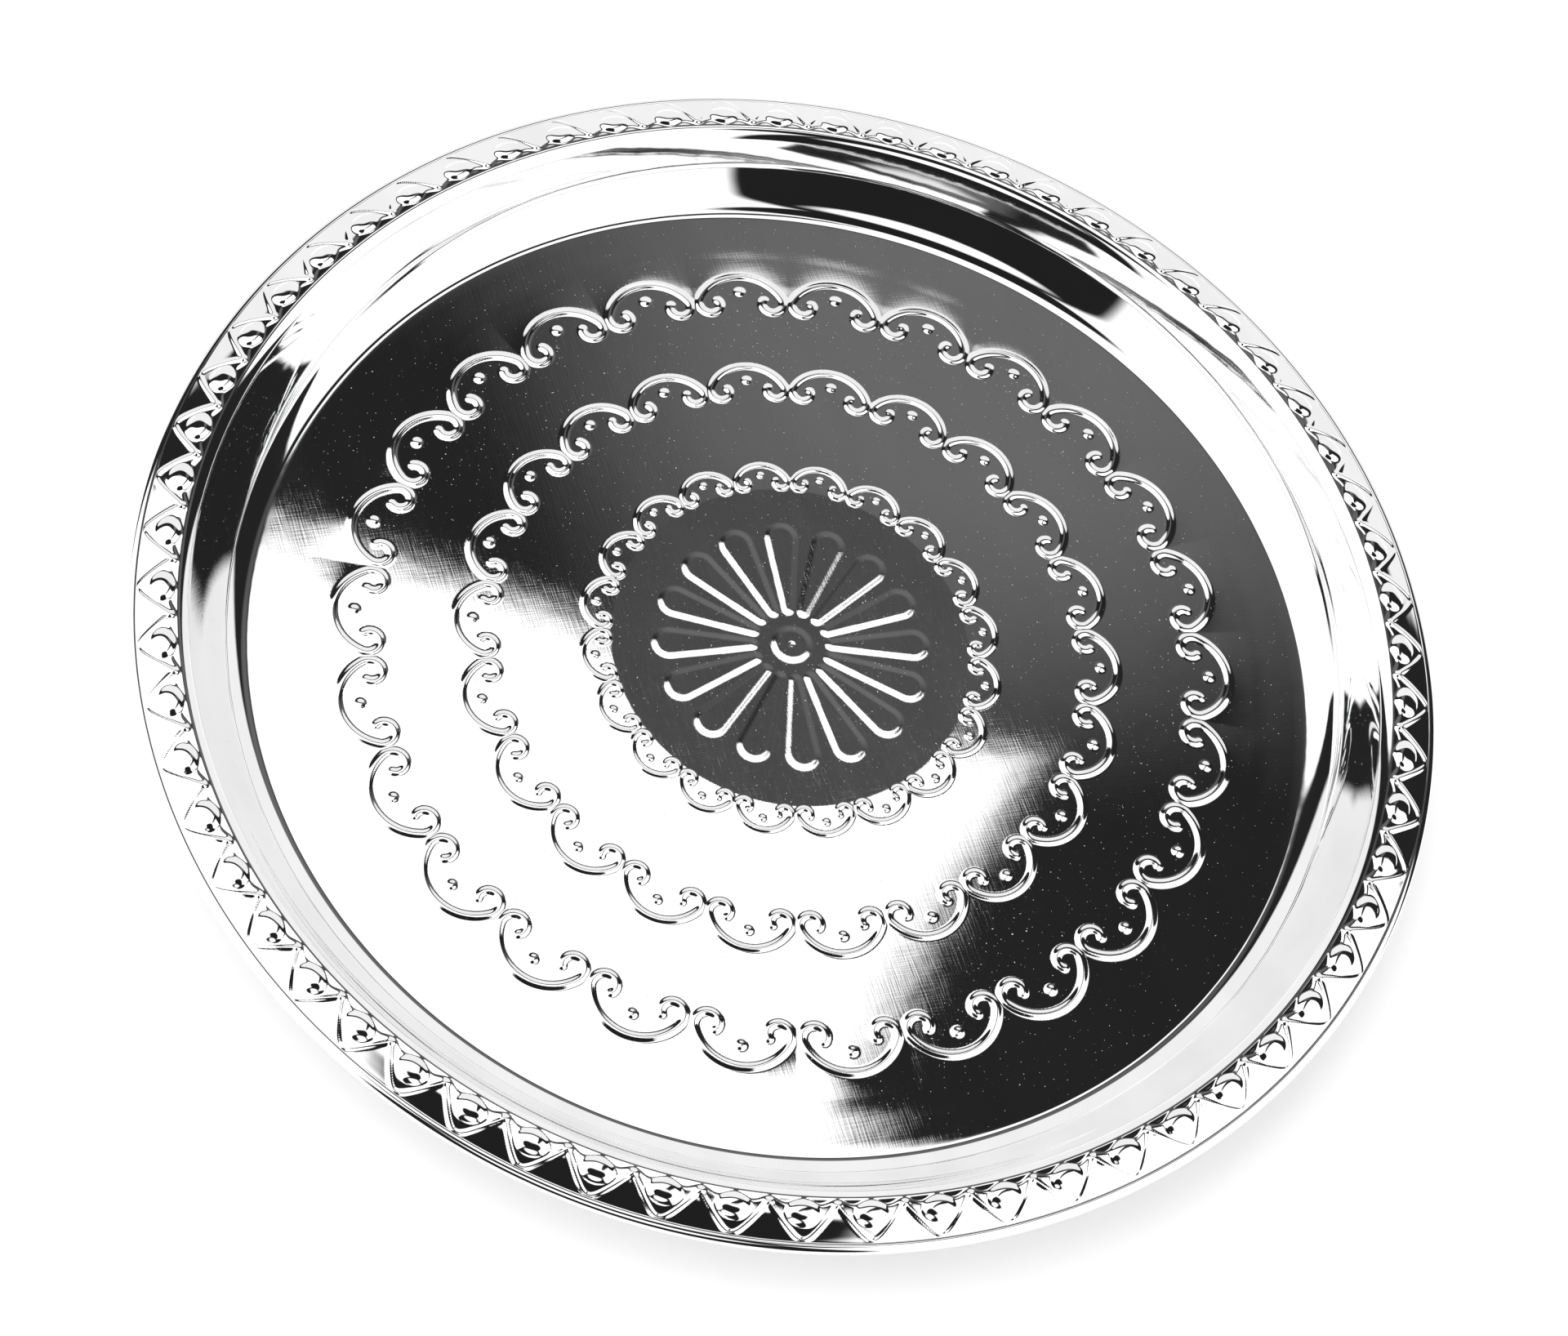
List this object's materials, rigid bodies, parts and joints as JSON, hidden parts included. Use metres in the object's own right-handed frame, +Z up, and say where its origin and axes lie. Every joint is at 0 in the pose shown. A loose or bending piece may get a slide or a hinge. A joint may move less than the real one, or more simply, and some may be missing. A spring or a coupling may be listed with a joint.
{
  "type": "offering plate",
  "caption": "Shallow round metal plate for passing round a hall, with an embossed floor, a sloping wall and a bordered rim with a curled, wired edge.",
  "frame": {"origin": "centre of the plate's underside, on the surface it rests on", "axes": "+Z up through the middle of the plate; +Y through a cusp between two scallops of the floor's pattern; +X to the right of that"},
  "size_m": [0.305, 0.305, 0.0195],
  "materials": {
    "plate_steel": "polished stainless steel, mirror bright on the wall and rim, with a fine rolled grain on the floor",
    "wire_steel": "plain drawn steel wire"
  },
  "bodies": {
    "root": {"pressed_plate": "plate_steel", "edge_wire": "wire_steel"}
  },
  "joints": []
}
